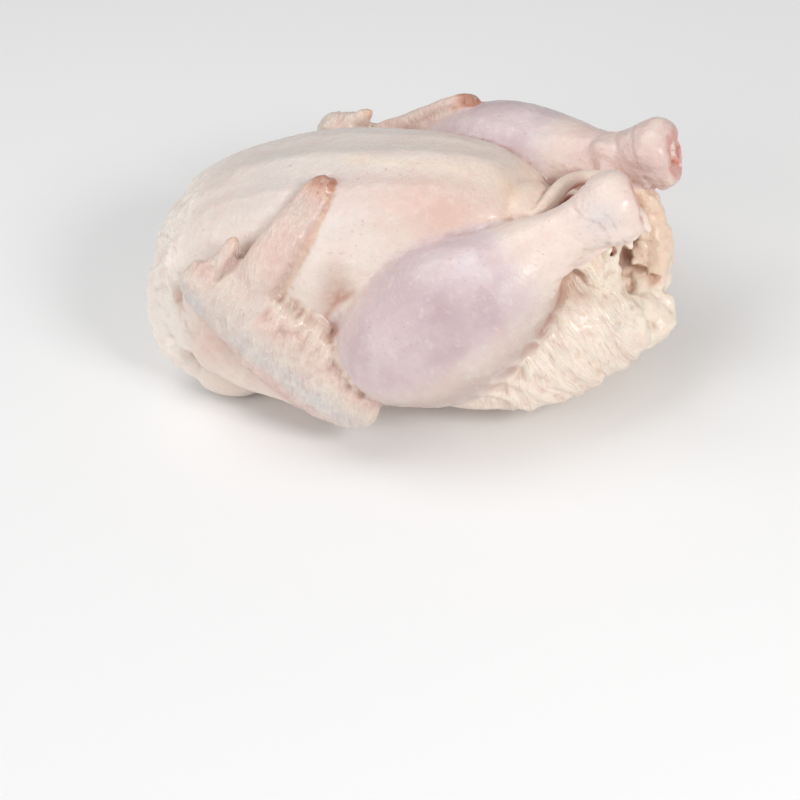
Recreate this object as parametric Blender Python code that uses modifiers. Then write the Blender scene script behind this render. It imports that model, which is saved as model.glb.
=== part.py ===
"""A raw whole chicken, plucked and drawn, lying on its back with its breast up.

Metres, +Z up. The neck end points along -X and the tail along +X. The bird's right side is at -Y.
The origin is the middle of the object's box, on the surface that it lies on. Sizes below are in
millimetres, in a bird frame whose X starts at the middle of the breast. The finished meshes are
moved and scaled to the part's own frame.
"""

import math

import bmesh
import bpy
import numpy as np
from mathutils import Vector, noise

MM = 0.001

# Driving dimensions
KEEL_HEIGHT = 113.0  # resting surface to the top of the breast
BREAST_HALF_WIDTH = 59.0
SKIN_FLAP = 9.0  # thickness of the loose skin and fat beside the vent
BACKBONE_RISE = 5.0  # how far the backbone stands up from the cavity's floor
BACKBONE_HALF_WIDTH = 6.0
LEG_CUT_RADIUS = 13.0  # at the ankle, where the foot was taken off
PRESSED_FLAT = 1.2  # what lies lower than this is pressed against the surface
BONE_SHAFT = 4.6
BONE_PROUD = 1.2  # how far the bone stands out of the cut
BONE_GAP = 0.45
BONE_SIDES = 16
KNUCKLE_START = 0.86  # share of the way from the knee to the ankle cut
KNUCKLE_WAIST = 0.28  # depth of the waist between the two knuckles, as a share of the radius
SOCKET_RUN_OUT = 8.0
SOCKET_DEEPER = 1.8

# Fineness of the skin
VOXEL = 1.7
SKIN_TRIANGLES = 10600
SOFTENING_ROUNDS = 7
EVENING_ROUNDS = 4
CAVITY_WOBBLE = 3.2
VENT_WOBBLE = 2.2

# Joints of the skeleton, which place the limbs
KNEE = {"right": (5, -58, 48), "left": (0, 63, 60)}
ANKLE = {"right": (112, -16, 111), "left": (119, 29, 100)}
# how far the end of each leg is bent off the straight line at the ankle cut
ANKLE_BEND = {"right": (0, 3.5, -6.7), "left": (0, 6.4, -3.5)}
ANKLE_BEND_START = 0.72
# how far the calf hangs off that line, and the share of the way at which it ends
CALF_END = 0.62
CALF_SAG = {"right": (1.8, -1.0, -3.0), "left": (1.8, 1.0, -2.0)}
SHOULDER = {"right": (-80, -43, 38), "left": (-74, 44, 38)}
ELBOW = {"right": (-11, -73, 31), "left": (-12, 80, 22)}
WRIST = {"right": (-75, -59, 79), "left": (-54, 66, 77)}
WING_TIP = {"right": (-25, -20, 112), "left": (17, 62, 102)}
# how far the middle of each hand stands off the skin that it lies over, and how far it is bowed to the tail
HAND_LIFT = {"right": 8.5, "left": 2.5}
HAND_BOW = (2.5, 0, -2.3)
THUMB_TIP = {"right": (-60, -48, 98.5), "left": (-35, 66, 90)}
KEEL_TIP = (64, 0, 88)
TAIL_TIP = (121, 0, 30.5)

TOP = (0, 0, 1)
RIGHT = (0, -1, 0)
LEFT = (0, 1, 0)

SKIN_COLOUR = (0.80, 0.66, 0.58, 1)
BONE_COLOUR = (0.72, 0.42, 0.34, 1)


def start_clean():
    for old in list(bpy.data.objects):
        bpy.data.objects.remove(old, do_unlink=True)


def group(name):
    made = bpy.data.collections.new(name)
    bpy.context.scene.collection.children.link(made)
    return made


def material(name, colour, roughness):
    made = bpy.data.materials.new(name)
    made.use_nodes = True
    shader = made.node_tree.nodes["Principled BSDF"]
    shader.inputs["Base Color"].default_value = colour
    shader.inputs["Roughness"].default_value = roughness
    shader.inputs["Metallic"].default_value = 0.0
    return made


def through(stations, steps):
    """Rows of numbers read from a smooth curve (Catmull-Rom) through the rows of stations."""
    rows = np.asarray(stations, float)
    rows = np.vstack([2 * rows[0] - rows[1], rows, 2 * rows[-1] - rows[-2]])
    found = []
    for i in range(1, len(rows) - 2):
        before, a, b, after = rows[i - 1 : i + 3]
        for t in np.linspace(0, 1, steps, endpoint=False):
            found.append(
                0.5 * (2 * a + (b - before) * t + (2 * before - 5 * a + 4 * b - after) * t**2)
                + 0.5 * (3 * a - before - 3 * b + after) * t**3
            )
    found.append(rows[-2])
    return np.array(found)


def skinned(name, rings, where):
    """One closed mesh object over rings of points, capped at both ends."""
    count = len(rings[0])
    shell = bmesh.new()
    rows = [[shell.verts.new(Vector(p)) for p in ring] for ring in rings]
    for low, high in zip(rows, rows[1:]):
        for k in range(count):
            shell.faces.new((low[k], low[(k + 1) % count], high[(k + 1) % count], high[k]))
    shell.faces.new(rows[0][::-1])
    shell.faces.new(rows[-1])
    bmesh.ops.recalc_face_normals(shell, faces=shell.faces[:])
    mesh = bpy.data.meshes.new(name)
    shell.to_mesh(mesh)
    shell.free()
    made = bpy.data.objects.new(name, mesh)
    where.objects.link(made)
    return made


def limb(name, stations, face, where, sides=24, steps=5):
    """A tube with oval sections. A station is x, y, z, half width, and half thickness along face."""
    rows = through(stations, steps)
    centres = rows[:, :3]
    along = np.gradient(centres, axis=0)
    along /= np.linalg.norm(along, axis=1)[:, None]
    out = np.array(face, float)
    rings = []
    for centre, tangent, (wide, thick) in zip(centres, along, np.maximum(rows[:, 3:5], 0.6)):
        across = np.cross(out, tangent)
        across /= np.linalg.norm(across)
        normal = np.cross(tangent, across)
        angles = np.linspace(0, 2 * math.pi, sides, endpoint=False)
        ring = [centre + wide * math.cos(a) * across + thick * math.sin(a) * normal for a in angles]
        rings.append(ring)
    return skinned(name, rings, where)


def trunk(name, stations, power, where, sides=40, steps=5):
    """A body form along X. A station is x, half width, top z, bottom z and the z of its widest level."""
    rings = []
    for x, half, top, bottom, middle in through(stations, steps):
        ring = []
        for a in np.linspace(0, 2 * math.pi, sides, endpoint=False):
            y = half * math.copysign(abs(math.cos(a)) ** (2 / power), math.cos(a))
            rise = top - middle if math.sin(a) > 0 else middle - bottom
            z = middle + rise * math.copysign(abs(math.sin(a)) ** (2 / power), math.sin(a))
            ring.append((x, y, z))
        rings.append(ring)
    return skinned(name, rings, where)


def on_the_way(start, end, share):
    return tuple(a + (b - a) * share for a, b in zip(start, end))


def lifted(point, direction, amount):
    return tuple(a + b * amount for a, b in zip(point, direction))


def breast(where):
    wide = BREAST_HALF_WIDTH
    high = KEEL_HEIGHT
    stations = [
        (-121, 8, 56, 36, 46),
        (-118, 27, 70, 24, 46),
        (-108, 44, 84, 12, 46),
        (-92, 0.92 * wide, 94, 5, 46),
        (-70, 1.01 * wide, 102, 1, 47),
        (-44, 1.03 * wide, 109, -1, 48),
        (-14, wide, high - 1, -1.5, 49),
        (16, 0.90 * wide, high + 0.5, -1.5, 50),
        (38, 0.76 * wide, high - 2, -1, 54),
        (52, 0.60 * wide, high - 8, 12, 62),
        (61, 0.48 * wide, high - 17, 34, 72),
        (65, 0.26 * wide, KEEL_TIP[2], 58, 77),
    ]
    return trunk("breast", stations, 2.25, where)


def belly(where):
    """The loose sleeve of skin from the ribs to the vent, over the hips and the back."""
    stations = [
        (-14, 44, 70, 0, 40),
        (20, 46, 82, -1, 42),
        (48, 42, 88, 0, 44),
        (70, 36, 90, 6, 48),
        (86, 30, 90, 12, 54),
        (93, 28, 82, 16, 50),
        (98, 26, 69, 19, 46),
        (103, 23, 58, 22, 42),
        (109, 18, 49, 26, 39),
        (113, 11, 44, 30, 38),
    ]
    return trunk("belly", stations, 2.4, where)


def tail(where):
    stations = [
        (80, 0, 27, 20, 12),
        (94, 0, 29, 22, 13),
        (105, 0, 30, 20.5, 13),
        (113, 0, 30.5, 15.5, 11),
        (118, 0, 30.5, 10, 8.5),
        (TAIL_TIP[0], 0, TAIL_TIP[2], 4, 4),
    ]
    return limb("tail", stations, (0, 0, 1), where)


def leg_point(side, share):
    """A point of the drumstick's middle line, by its share of the way from the knee to the ankle cut."""
    turned = max(0.0, share - ANKLE_BEND_START) / (1 - ANKLE_BEND_START)
    straight = on_the_way(KNEE[side], ANKLE[side], share)
    sag = math.sin(math.pi * min(max(share / CALF_END, 0.0), 1.0))
    return tuple(a + b * turned**2 + c * sag for a, b, c in zip(straight, ANKLE_BEND[side], CALF_SAG[side]))


def leg(side, where):
    """Thigh and drumstick: two tapering masses that meet at the knee."""
    away = -1 if side == "right" else 1
    knee = KNEE[side]
    thigh = [
        (112, 17 * away, 42, 10, 9),
        (102, 22 * away, 42, 19, 15),
        (86, 30 * away, 42, 25, 20),
        (66, 37 * away, 40, 29, 24),
        (44, 43 * away, 41, 29, 24),
        (22, 47 * away, knee[2] - 5, 26, 22),
        (6, 49 * away, knee[2] - 2, 20, 18),
        (-6, 50 * away, knee[2], 7, 7),
    ]
    # share of the way from the knee to the ankle cut, half width and half thickness
    profile = [
        (-0.19, 3, 3),
        (-0.16, 13, 12),
        (-0.07, 23, 22),
        (0.04, 31, 27),
        (0.17, 35.5, 29),
        (0.30, 35.5, 29.5),
        (0.42, 31, 27),
        (0.53, 24, 22),
        (0.63, 17.2, 16.4),
        (0.71, 13.0, 12.6),
        (0.79, 11.6, 11.4),
        (0.86, 13.6, 13.4),
        (0.92, 16.4, 15.6),
        (0.97, 15.8, 15.0),
        (1.00, LEG_CUT_RADIUS, LEG_CUT_RADIUS),
    ]
    drumstick = [(*leg_point(side, share), wide, thick) for share, wide, thick in profile]
    return [
        limb(f"thigh_{side}", thigh, (0, away, 0.1), where),
        limb(f"drumstick_{side}", drumstick, (0.1, away, 0.5), where, sides=28),
    ]


def wing(side, where):
    """Upper wing, forearm, hand and thumb, folded like a Z against the flank."""
    away = -1 if side == "right" else 1
    shoulder, elbow, wrist = SHOULDER[side], ELBOW[side], WRIST[side]
    tip, thumb = WING_TIP[side], THUMB_TIP[side]
    face = (0, 0.92 * away, 0.40)
    hand_face = (-0.05, 0.74 * away, 0.67)
    palm = on_the_way(wrist, elbow, 0.19)
    bowed = {share: lifted(on_the_way(palm, tip, share), HAND_BOW, 1) for share in (0.36, 0.62)}
    upper = [
        (*on_the_way(shoulder, elbow, -0.22), 8, 8),
        (*on_the_way(shoulder, elbow, -0.05), 18, 17),
        (*on_the_way(shoulder, elbow, 0.25), 19, 18),
        (*on_the_way(shoulder, elbow, 0.60), 15, 14),
        (*on_the_way(shoulder, elbow, 0.90), 14, 12),
        (*on_the_way(shoulder, elbow, 1.05), 10, 9),
    ]
    forearm = [
        (*on_the_way(wrist, elbow, -0.14), 6, 5),
        (*on_the_way(wrist, elbow, -0.04), 11.5, 8.5),
        (*on_the_way(wrist, elbow, 0.16), 14.5, 9.5),
        (*on_the_way(wrist, elbow, 0.45), 18.5, 9.5),
        (*on_the_way(wrist, elbow, 0.72), 18.5, 9.5),
        (*on_the_way(wrist, elbow, 0.94), 15.5, 9.5),
        (*on_the_way(wrist, elbow, 1.08), 12, 8.5),
        (*on_the_way(wrist, elbow, 1.18), 5, 4.5),
    ]
    hand = [
        (*on_the_way(palm, tip, -0.16), 8, 6),
        (*on_the_way(palm, tip, 0.08), 11.5, 7.5),
        (*lifted(bowed[0.36], hand_face, HAND_LIFT[side]), 10.5, 6),
        (*lifted(bowed[0.62], hand_face, HAND_LIFT[side]), 9.5, 5),
        (*on_the_way(palm, tip, 0.84), 7.8, 4.2),
        (*on_the_way(palm, tip, 0.97), 5.5, 3.4),
        (*on_the_way(palm, tip, 1.03), 2, 1.6),
    ]
    middle = on_the_way(wrist, elbow, 0.42)
    web = [
        (*on_the_way(shoulder, middle, -0.1), 20, 6),
        (*on_the_way(shoulder, middle, 0.3), 21, 8),
        (*on_the_way(shoulder, middle, 0.7), 19, 8),
        (*on_the_way(shoulder, middle, 1.0), 14, 5),
    ]
    root = on_the_way(wrist, tip, 0.02)
    digit = [
        (*on_the_way(root, thumb, 0.05), 6.5, 5.5),
        (*on_the_way(root, thumb, 0.45), 5, 4.5),
        (*on_the_way(root, thumb, 0.80), 4.0, 3.4),
        (*on_the_way(root, thumb, 1.02), 1.6, 1.4),
    ]
    return [
        limb(f"upper_wing_{side}", upper, face, where),
        limb(f"wing_web_{side}", web, face, where),
        limb(f"forearm_{side}", forearm, face, where),
        limb(f"hand_{side}", hand, hand_face, where, sides=20),
        limb(f"thumb_{side}", digit, hand_face, where, sides=16),
    ]


def neck_skin(where):
    """The rolled flap of loose skin that closes the neck end, and the roll down each shoulder."""
    made = []
    for away in (-1, 1):
        roll = [
            (-101, 33 * away, 72, 5, 3),
            (-109, 35 * away, 62, 8, 6),
            (-112, 37 * away, 46, 8.5, 7),
            (-108, 41 * away, 26, 8, 7),
            (-98, 43 * away, 15, 7, 6),
            (-84, 43 * away, 9, 5, 5),
        ]
        made.append(limb(f"neck_roll_{away}", roll, (-0.7, 0.6 * away, 0.1), where, sides=16))
    flap = [
        (-108, 0, 74, 24, 6),
        (-116, 0, 62, 27, 6.5),
        (-119, 0, 46, 26, 6.5),
        (-116, 0, 30, 23, 6),
        (-108, 0, 17, 20, 5.5),
        (-96, 0, 9, 16, 5),
    ]
    made.append(limb("neck_flap", flap, (-1, 0, 0), where, sides=24))
    return made


def vent_trim(where):
    """Lumps of fat and torn skin at the edge of the vent, and the web of skin under each ankle."""
    lumps = {
        "rim_right": [
            (84, -24, 88, 6, 4),
            (90, -24, 80, 7, 5),
            (95, -22, 69, 7, 5),
            (99, -19, 57, 6, 5),
            (103, -14, 47, 5, 4),
        ],
        "rim_left": [
            (84, 25, 90, 6, 4),
            (93, 25, 82, 7, 5),
            (99, 23, 71, 8, 5),
            (105, 20, 59, 7, 5),
            (110, 15, 47, 5, 4),
        ],
        "fat_right": [(91, -20, 70, 6, 5), (96, -18, 63, 8, 6), (101, -14, 55, 6, 5)],
        "web_right": [(80, -31, 98, 11, 4), (88, -28, 91, 12, 5), (94, -25, 82, 9, 4.5)],
        "web_left": [(80, 34, 94, 11, 4), (90, 31, 88, 12, 5), (97, 28, 79, 8, 4.5)],
    }
    return [
        limb(name, rows, (0, -1 if "right" in name else 1, 0.3), where, sides=14, steps=3)
        for name, rows in lumps.items()
    ]


def cavity(where):
    """The emptied inside, from behind the neck to the vent, which opens between keel and tail."""
    stations = [
        (-84, 4, 60, 52, 56),
        (-76, 18, 72, 40, 56),
        (-58, 27, 82, 29, 55),
        (-30, 33, 89, 22, 54),
        (0, 34, 91, 19, 54),
        (30, 31, 90, 19, 54),
        (54, 25, 84, 23, 54),
        (68, 20, 80, 30, 56),
        (76, 17, 92, 37, 62),
        (86, 29 - SKIN_FLAP - 1.5, 112, 42, 66),
        (100, 25 - SKIN_FLAP, 122, 46, 68),
        (118, 18, 126, 49, 70),
        (132, 20, 128, 50, 72),
    ]
    cutter = trunk("cavity", stations, 2.2, where)
    # the backbone stands up along the cavity's floor
    points = points_of(cutter.data)
    low = (points[:, 2] < 50) & (points[:, 0] < 100)
    points[low, 2] += BACKBONE_RISE * np.exp(-((points[low, 1] / BACKBONE_HALF_WIDTH) ** 2))
    move_to(cutter.data, points)
    wobble(cutter.data, scale=0.055, depth=CAVITY_WOBBLE, keep=lambda p: p[:, 0] > 60)
    cutter.hide_render = True
    cutter.display_type = "WIRE"
    return cutter


def points_of(mesh):
    flat = np.empty(len(mesh.vertices) * 3)
    mesh.vertices.foreach_get("co", flat)
    return flat.reshape(-1, 3)


def normals_of(mesh):
    flat = np.empty(len(mesh.vertices) * 3, np.float32)
    mesh.vertex_normals.foreach_get("vector", flat)
    return flat.reshape(-1, 3).astype(float)


def move_to(mesh, points):
    mesh.vertices.foreach_set("co", np.asarray(points, np.float32).ravel())
    mesh.update()


def rough(points, scale, offset):
    """Seedless smooth noise at each point, from about -1 to 1."""
    shift = Vector((offset, 0.37 * offset, -0.71 * offset))
    return np.array([noise.noise(Vector(p) * scale + shift) for p in points])


def wobble(mesh, scale, depth, keep):
    """Moves the kept points along their normals by noise."""
    points = points_of(mesh)
    chosen = keep(points)
    shift = rough(points[chosen], scale, 11.0) * depth
    points[chosen] += normals_of(mesh)[chosen] * shift[:, None]
    move_to(mesh, points)


def around_the_vent(points):
    return (points[:, 0] > 70) & (points[:, 2] > 28) & (abs(points[:, 1]) < 28) & (points[:, 2] < 92)


def applied(obj):
    """Replaces an object's mesh by what its modifiers make of it."""
    graph = bpy.context.evaluated_depsgraph_get()
    made = bpy.data.meshes.new_from_object(obj.evaluated_get(graph))
    obj.modifiers.clear()
    obj.data = made
    return obj


def fused(pieces, where):
    """One object from the overlapping forms, through a voxel remesh."""
    whole = bmesh.new()
    for piece in pieces:
        whole.from_mesh(piece.data)
    mesh = bpy.data.meshes.new("chicken")
    whole.to_mesh(mesh)
    whole.free()
    for piece in pieces:
        bpy.data.objects.remove(piece, do_unlink=True)
    made = bpy.data.objects.new("chicken", mesh)
    where.objects.link(made)
    remesh = made.modifiers.new("fuse", "REMESH")
    remesh.mode = "VOXEL"
    remesh.voxel_size = VOXEL
    return applied(made)


def neighbour_mean(mesh):
    """A function that gives each vertex the mean of its neighbours' values."""
    ends = np.empty(len(mesh.edges) * 2, np.int64)
    mesh.edges.foreach_get("vertices", ends)
    a, b = ends.reshape(-1, 2).T
    count = np.bincount(ends, minlength=len(mesh.vertices)).astype(float)

    def mean(values):
        total = np.zeros_like(values)
        np.add.at(total, a, values[b])
        np.add.at(total, b, values[a])
        return total / count[:, None]

    return mean


def softened(mesh, rounds, weight):
    """Smooths the mesh where weight is above 0, without shrinking it much."""
    mean = neighbour_mean(mesh)
    points = points_of(mesh)
    share = weight(points)[:, None]
    for _ in range(rounds):
        points = points + share * 0.55 * (mean(points) - points)
        points = points - share * 0.50 * (mean(points) - points)
    move_to(mesh, points)


def distance_to(points, route):
    """Distance from each point to a smooth line through the route's points, in any number of directions."""
    line = through(route, 6)
    found = np.full(len(points), 1e9)
    for a, b in zip(line, line[1:]):
        way = b - a
        share = np.clip(((points - a) @ way) / max(way @ way, 1e-9), 0, 1)
        found = np.minimum(found, np.linalg.norm(points - a - share[:, None] * way, axis=1))
    return found


def folded(mesh):
    """Raises the ridges of skin, and sinks the creases, that read at arm's length."""
    points = points_of(mesh)
    normals = normals_of(mesh)
    lift = np.zeros(len(points))
    for seen_from, route, width, height in skin_folds():
        kept = normals @ np.array(seen_from, float) > 0.25
        flat = points[:, (0, 1)] if seen_from[2] else points[:, (0, 2)]
        lift += kept * height * np.exp(-((distance_to(flat, route) / width) ** 2))
    move_to(mesh, points + normals * lift[:, None])


def skin_folds():
    """Each fold's side of the bird, its route as seen from there, its half width and its height."""
    found = [
        (TOP, [(-76, 0), (-40, 0), (0, 0), (44, 1)], 5.5, 0.9),
        (TOP, [(-92, -17), (-60, -13), (-20, -13), (40, -12)], 5.5, -0.6),
        (TOP, [(-92, 17), (-60, 13), (-20, 13), (40, 12)], 5.5, -0.6),
    ]
    # the thigh's skin is gathered in a fan where the drumstick leaves it
    starts = [(84, 84), (80, 77), (75, 69), (70, 61), (64, 53), (57, 45), (50, 37)]
    ends = [(103, 55), (103, 48), (100, 40), (95, 32), (88, 26), (78, 21), (66, 18)]
    for (x, z), (far_x, far_z) in zip(starts, ends):
        middle = ((x + far_x) / 2 + 2.5, (z + far_z) / 2 + 2.0)
        for side in (RIGHT, LEFT):
            found.append((side, [(x, z), middle, (far_x, far_z)], 1.9, 1.3))
    # the web of the forearm lies in shallow folds across it
    for k in range(4):
        x, z = -60 + 12 * k, 71 - 9 * k
        found.append((RIGHT, [(x, z), (x - 5, z - 8), (x - 11, z - 12)], 1.7, 0.8))
    # the loose skin of the neck end hangs in folds
    for x, z in ((-104, 62), (-100, 48), (-97, 34)):
        for side in (RIGHT, LEFT):
            found.append((side, [(x, z + 12), (x + 4, z), (x + 12, z - 12)], 2.0, 1.0))
    return found


def with_flat_back(mesh):
    """The back settles on the surface: it is pressed flat there, and nothing reaches below it."""
    points = points_of(mesh)
    sunk = points[:, 2] < PRESSED_FLAT
    points[sunk, 2] = -2.0
    move_to(mesh, points)


def floor_cutter(where):
    bpy.ops.mesh.primitive_cube_add(size=1, location=(0, 0, -50))
    made = bpy.context.active_object
    made.name = "below_the_surface"
    made.scale = (400, 400, 100)
    bpy.ops.object.transform_apply(location=True, rotation=False, scale=True)
    for old in list(made.users_collection):
        old.objects.unlink(made)
    where.objects.link(made)
    made.hide_render = True
    made.display_type = "WIRE"
    return made


def bone(name, side, extra, where):
    """The shank bone: a shaft that swells to the two knuckles of the ankle, which show at the cut."""
    length = math.dist(KNEE[side], ANKLE[side])
    proud = BONE_PROUD / length
    stations = [
        (0.30, BONE_SHAFT * 0.7, BONE_SHAFT * 0.7),
        (0.33, BONE_SHAFT, BONE_SHAFT),
        (0.50, BONE_SHAFT, BONE_SHAFT * 0.95),
        (0.68, BONE_SHAFT, BONE_SHAFT * 0.95),
        (0.80, BONE_SHAFT * 1.05, BONE_SHAFT),
        (0.86, BONE_SHAFT * 1.2, BONE_SHAFT * 1.05),
        (0.91, BONE_SHAFT * 1.6, BONE_SHAFT * 1.25),
        (0.95, BONE_SHAFT * 1.95, BONE_SHAFT * 1.45),
        (0.985, BONE_SHAFT * 2.05, BONE_SHAFT * 1.55),
        (1.0 + proud, BONE_SHAFT * 1.9, BONE_SHAFT * 1.4),
    ]
    if extra:
        # the socket is a little deeper than the bone, and runs straight on past the cut
        first, last = stations[0], stations[-1]
        stations[0] = (first[0] - SOCKET_DEEPER / length, first[1] + extra, first[2] + extra)
        stations.append((last[0] + SOCKET_RUN_OUT / length, last[1], last[2]))
    rows = [(*leg_point(side, s), wide + extra, thick + extra) for s, wide, thick in stations]
    away = -1 if side == "right" else 1
    made = limb(name, rows, (0.1, away, 0.5), where, sides=BONE_SIDES, steps=1)
    # a waist between the two knuckles, which fades out along the shaft
    points = points_of(made.data).reshape(-1, BONE_SIDES, 3)
    centres = points.mean(axis=1, keepdims=True)
    angles = np.linspace(0, 2 * math.pi, BONE_SIDES, endpoint=False)
    notch = KNUCKLE_WAIST * np.exp(-((np.cos(angles) / 0.4) ** 2))
    ramp = np.clip((np.array(stations)[:, 0] - KNUCKLE_START) / 0.08, 0, 1)
    points = centres + (points - centres) * (1 - ramp[:, None, None] * notch[None, :, None])
    move_to(made.data, points.reshape(-1, 3))
    return made


def cut(obj, cutter, solver="EXACT"):
    trim = obj.modifiers.new(cutter.name, "BOOLEAN")
    trim.operation = "DIFFERENCE"
    trim.solver = solver
    trim.object = cutter
    return applied(obj)


def thinned(obj, triangles):
    obj.data.calc_loop_triangles()
    fewer = obj.modifiers.new("fewer", "DECIMATE")
    fewer.ratio = triangles / len(obj.data.loop_triangles)
    fewer.use_collapse_triangulate = True
    return applied(obj)


def in_part_frame(objects):
    """Millimetres to metres, with the origin at the middle of the box on the resting surface."""
    boxes = np.vstack([points_of(obj.data) for obj in objects])
    low, high = boxes.min(0), boxes.max(0)
    middle = np.array([(low[0] + high[0]) / 2, (low[1] + high[1]) / 2, 0.0])
    for obj in objects:
        move_to(obj.data, (points_of(obj.data) - middle) * MM)
    print("origin in the bird frame, mm", np.round(middle, 2))


def main():
    start_clean()
    parts = group("whole_chicken")
    cutters = group("cutters")
    forms = [breast(parts), belly(parts), tail(parts), *neck_skin(parts), *vent_trim(parts)]
    for side in ("right", "left"):
        forms += leg(side, parts) + wing(side, parts)
    chicken = fused(forms, parts)
    softened(chicken.data, SOFTENING_ROUNDS, lambda p: np.full(len(p), 1.0))
    chicken = cut(chicken, cavity(cutters))
    remesh = chicken.modifiers.new("even", "REMESH")
    remesh.mode = "VOXEL"
    remesh.voxel_size = VOXEL
    applied(chicken)
    softened(chicken.data, EVENING_ROUNDS, lambda p: np.full(len(p), 1.0))
    folded(chicken.data)
    wobble(chicken.data, scale=0.12, depth=VENT_WOBBLE, keep=around_the_vent)
    with_flat_back(chicken.data)
    thinned(chicken, SKIN_TRIANGLES)
    chicken = cut(chicken, floor_cutter(cutters))
    bones = []
    for side in ("right", "left"):
        socket = bone(f"socket_{side}", side, BONE_GAP, cutters)
        socket.hide_render = True
        socket.display_type = "WIRE"
        chicken = cut(chicken, socket)
        bones.append(bone(f"shank_bone_{side}", side, 0.0, parts))
    skin = material("raw_skin", SKIN_COLOUR, 0.42)
    marrow = material("shank_bone", BONE_COLOUR, 0.40)
    chicken.data.materials.clear()
    chicken.data.materials.append(skin)
    for piece in bones:
        piece.data.materials.append(marrow)
    in_part_frame([chicken, *bones])
    for cutter in list(cutters.objects):
        bpy.data.objects.remove(cutter, do_unlink=True)
    chicken.data.shade_smooth()
    for piece in bones:
        piece.data.shade_smooth()


main()
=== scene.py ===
import math

import bpy
import numpy as np
from mathutils import Matrix, Vector


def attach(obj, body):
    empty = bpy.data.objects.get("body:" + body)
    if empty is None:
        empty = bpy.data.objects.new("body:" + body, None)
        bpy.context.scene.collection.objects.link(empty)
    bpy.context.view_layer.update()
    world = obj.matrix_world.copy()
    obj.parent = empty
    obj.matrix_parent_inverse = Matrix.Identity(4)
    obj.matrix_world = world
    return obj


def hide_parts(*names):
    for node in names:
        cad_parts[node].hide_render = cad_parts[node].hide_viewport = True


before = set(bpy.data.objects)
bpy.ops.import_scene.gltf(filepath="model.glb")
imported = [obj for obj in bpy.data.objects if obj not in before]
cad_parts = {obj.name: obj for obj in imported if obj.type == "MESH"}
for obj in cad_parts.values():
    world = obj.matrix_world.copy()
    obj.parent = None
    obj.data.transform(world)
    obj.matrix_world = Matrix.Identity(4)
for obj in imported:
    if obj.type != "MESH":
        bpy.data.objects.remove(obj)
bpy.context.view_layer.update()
print("frame loaded")

mm = 0.001
birdOrigin = np.array((1.69, -3.35, 0.0))  # where the bird's own zero lies in the part's frame

# skeleton points, same as in the part
knee = {"right": (5, -58, 48), "left": (0, 63, 60)}
ankle = {"right": (112, -16, 111), "left": (119, 29, 100)}
ankleBend = {"right": (0, 3.5, -6.7), "left": (0, 6.4, -3.5)}
calfSag = {"right": (1.8, -1.0, -3.0), "left": (1.8, 1.0, -2.0)}
elbow = {"right": (-11, -73, 31), "left": (-12, 80, 22)}
wrist = {"right": (-75, -59, 79), "left": (-54, 66, 77)}
wingTip = {"right": (-25, -20, 112), "left": (17, 62, 102)}
thumbTip = {"right": (-60, -48, 101), "left": (-35, 66, 91)}
shoulder = {"right": (-80, -43, 38), "left": (-74, 44, 38)}
sides = {"right": -1, "left": 1}


def wayPoint(a, b, share):
    return tuple(p + (q - p) * share for p, q in zip(a, b))


def legPoint(side, share):
    turned = max(0.0, share - 0.72) / 0.28
    sag = math.sin(math.pi * min(max(share / 0.62, 0.0), 1.0))
    straight = wayPoint(knee[side], ankle[side], share)
    bends = zip(straight, ankleBend[side], calfSag[side])
    return tuple(a + b * turned**2 + c * sag for a, b, c in bends)


palm = {side: wayPoint(wrist[side], elbow[side], 0.19) for side in sides}
handLift = {"right": 8.5, "left": 2.5}
handBow = (2.5, 0, -2.3)


# a point of the hand's middle line, which stands off the breast half way
def handPoint(side, share):
    out = handLift[side] * math.sin(math.pi * min(max(share, 0), 1)) * 0.95
    bow = math.sin(math.pi * min(max(share, 0), 1))
    x, y, z = wayPoint(palm[side], wingTip[side], share)
    return (
        x - 0.05 * out + handBow[0] * bow,
        y + sides[side] * 0.74 * out,
        z + 0.67 * out + handBow[2] * bow,
    )


def deselectAll():
    if bpy.context.object and bpy.context.object.mode != "OBJECT":
        bpy.ops.object.mode_set(mode="OBJECT")
    bpy.ops.object.select_all(action="DESELECT")


def makeActive(obj):
    deselectAll()
    obj.select_set(True)
    bpy.context.view_layer.objects.active = obj


def toPart(point):
    return (np.asarray(point, float) + birdOrigin) * mm


def readPoints(mesh):
    flat = np.empty(len(mesh.vertices) * 3, np.float32)
    mesh.vertices.foreach_get("co", flat)
    return flat.reshape(-1, 3).astype(float) / mm - birdOrigin


def writePoints(mesh, points):
    flat = ((points + birdOrigin) * mm).astype(np.float32)
    mesh.vertices.foreach_set("co", flat.ravel())
    mesh.update()


def readNormals(mesh):
    flat = np.empty(len(mesh.vertices) * 3, np.float32)
    mesh.vertex_normals.foreach_get("vector", flat)
    return flat.reshape(-1, 3).astype(float)


def edgeEnds(mesh):
    ends = np.empty(len(mesh.edges) * 2, np.int64)
    mesh.edges.foreach_get("vertices", ends)
    return ends.reshape(-1, 2).T


def neighbourMean(mesh):
    a, b = edgeEnds(mesh)
    total = len(mesh.vertices)
    count = np.bincount(a, minlength=total) + np.bincount(b, minlength=total)
    count = np.maximum(count, 1).astype(float)

    def mean(values):
        if values.ndim == 1:
            return mean(values[:, None])[:, 0]
        out = np.empty_like(values)
        for k in range(values.shape[1]):
            column = values[:, k]
            out[:, k] = np.bincount(a, column[b], total) + np.bincount(b, column[a], total)
        return out / count[:, None]

    return mean


def blurred(values, mean, rounds, amount):
    for _ in range(rounds):
        values = values + amount * (mean(values) - values)
    return values


# blurs and sharpens by turns, which takes facets out and keeps the size
def relaxed(points, mean, rounds, blur, sharpen):
    for _ in range(rounds):
        points = points + blur * (mean(points) - points)
        points = points - sharpen * (mean(points) - points)
    return points


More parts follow.
